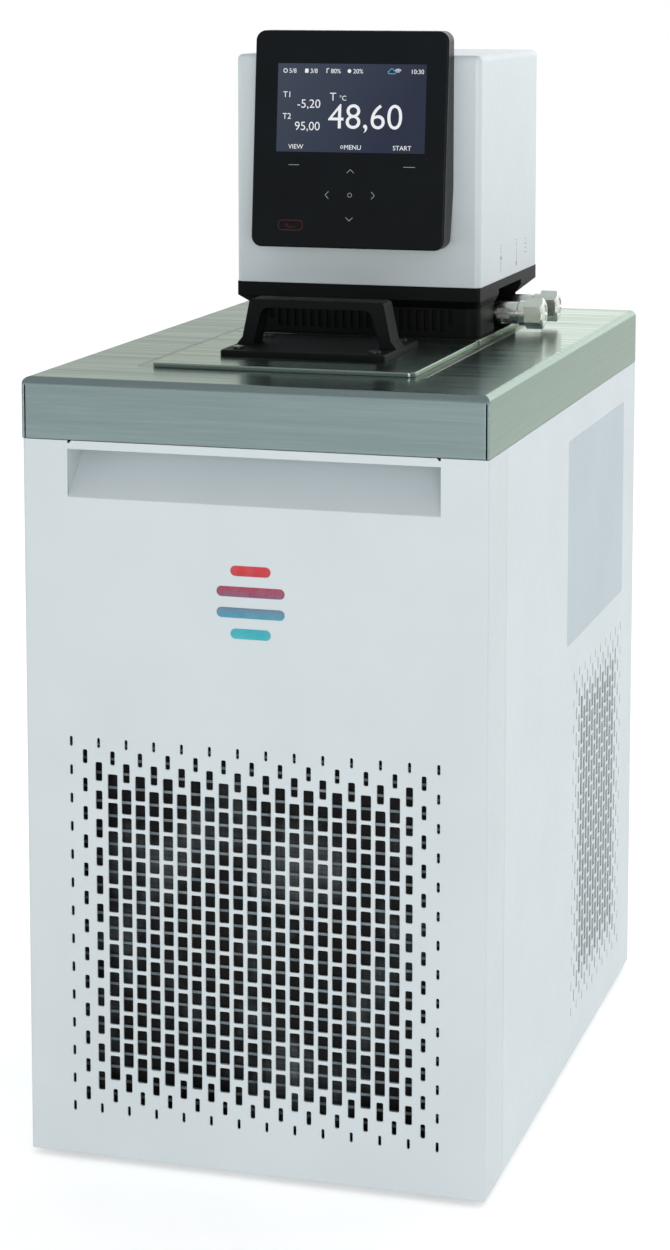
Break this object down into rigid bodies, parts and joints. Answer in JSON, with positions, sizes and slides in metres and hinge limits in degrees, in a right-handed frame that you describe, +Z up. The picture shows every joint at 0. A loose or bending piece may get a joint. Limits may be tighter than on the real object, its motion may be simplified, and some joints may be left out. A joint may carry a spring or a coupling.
{
  "type": "refrigerated circulator",
  "caption": "Refrigerated bath circulator: upright sheet-metal tower with a perforated grille, a steel deck with a lidded bath, and a pump head with sloping display and hose ports.",
  "frame": {"origin": "on the ground, under the middle of the whole outline", "axes": "+Z up, -Y the front with the grille, +X the right side with the hose connections"},
  "size_m": [0.3, 0.485, 0.7165],
  "materials": {
    "front_housing": "satin",
    "side_housing": "satin",
    "stainless": "brushed",
    "bright_steel": "satin",
    "black_plastic": "fine texture",
    "black_glass": "smooth",
    "screen": "gloss",
    "rubber": "matte",
    "galvanised": "dull",
    "aluminium": "mill finish",
    "copper": "dull",
    "black_paint": "gloss",
    "motor_grey": "satin",
    "foam": "matte",
    "board": "matte",
    "white_plastic": "smooth",
    "nickel": "satin",
    "lever_red": "smooth"
  },
  "bodies": {
    "tower": {"base_pan": "galvanised", "foot_front_left": "rubber", "foot_front_right": "rubber", "foot_rear_left": "rubber", "foot_rear_right": "rubber", "side_panel_right": "side_housing", "side_panel_left": "side_housing", "rear_panel": "front_housing", "deck": "stainless", "bath_tank": "stainless", "tank_insulation": "foam", "evaporator_coil": "bright_steel", "bridge_plate": "stainless", "bridge_body": "black_plastic", "head_tray": "black_plastic", "head_housing": "front_housing", "display_case": "black_plastic", "display_front": "black_glass", "display_screen": "screen", "feed_port": "bright_steel", "feed_plug": "bright_steel", "feed_pipe": "bright_steel", "return_port": "bright_steel", "return_plug": "bright_steel", "return_pipe": "bright_steel", "pump_column": "bright_steel", "pump_housing": "bright_steel", "pump_motor": "motor_grey", "heater_coil": "bright_steel", "temperature_probe": "bright_steel", "float_stem": "bright_steel", "control_board": "board", "condenser_core": "aluminium", "condenser_fins": "aluminium", "fan_shroud": "galvanised", "fan_bracket": "galvanised", "fan_motor": "motor_grey", "compressor": "black_paint", "compressor_mounts": "rubber", "filter_drier": "copper", "discharge_line": "copper", "suction_line": "copper", "control_box": "galvanised", "mains_inlet": "black_plastic", "switch_frame": "black_plastic", "drain_pipe": "bright_steel", "drain_tap": "nickel"},
    "front_panel": {"front_panel": "front_housing"},
    "lid": {"lid_plate": "stainless", "lid_handle": "black_plastic", "handle_screws": "bright_steel"},
    "fan": {"fan_wheel": "black_plastic", "fan_shaft": "bright_steel"},
    "pump_rotor": {"pump_shaft": "bright_steel", "impeller": "bright_steel"},
    "float": {"level_float": "white_plastic"},
    "feed_nut": {"feed_nut": "nickel"},
    "return_nut": {"return_nut": "nickel"},
    "tap_lever": {"tap_lever": "lever_red"},
    "switch_rocker": {"switch_rocker": "black_plastic"}
  },
  "joints": [
    {"name": "front_panel_pull", "type": "slide", "parent": "tower", "child": "front_panel", "axis": [0, -1, 0], "range_m": [0, 0.09]},
    {"name": "lid_lift", "type": "slide", "parent": "tower", "child": "lid", "axis": [0, -0.7071, 0.7071], "range_m": [0, 0.35]},
    {"name": "fan_spin", "type": "hinge", "parent": "tower", "child": "fan", "pos_m": [0, -0.1985, 0.154], "axis": [0, 1, 0], "continuous": true},
    {"name": "pump_spin", "type": "hinge", "parent": "tower", "child": "pump_rotor", "pos_m": [0, 0.0575, 0.4], "axis": [0, 0, 1], "continuous": true},
    {"name": "float_rise", "type": "slide", "parent": "tower", "child": "float", "axis": [0, 0, 1], "range_m": [0, 0.05]},
    {"name": "feed_nut_turn", "type": "hinge", "parent": "tower", "child": "feed_nut", "pos_m": [0.11, 0.0545, 0.5204], "axis": [1, 0, 0], "continuous": true},
    {"name": "return_nut_turn", "type": "hinge", "parent": "tower", "child": "return_nut", "pos_m": [0.11, 0.1015, 0.5204], "axis": [1, 0, 0], "continuous": true},
    {"name": "tap_lever_turn", "type": "hinge", "parent": "tower", "child": "tap_lever", "pos_m": [0.06, 0.2305, 0.058], "axis": [0, 0, 1], "range_deg": [0, 90]},
    {"name": "switch_rock", "type": "hinge", "parent": "tower", "child": "switch_rocker", "pos_m": [-0.06, 0.2215, 0.074], "axis": [-1, 0, 0], "range_deg": [0, 16]}
  ]
}
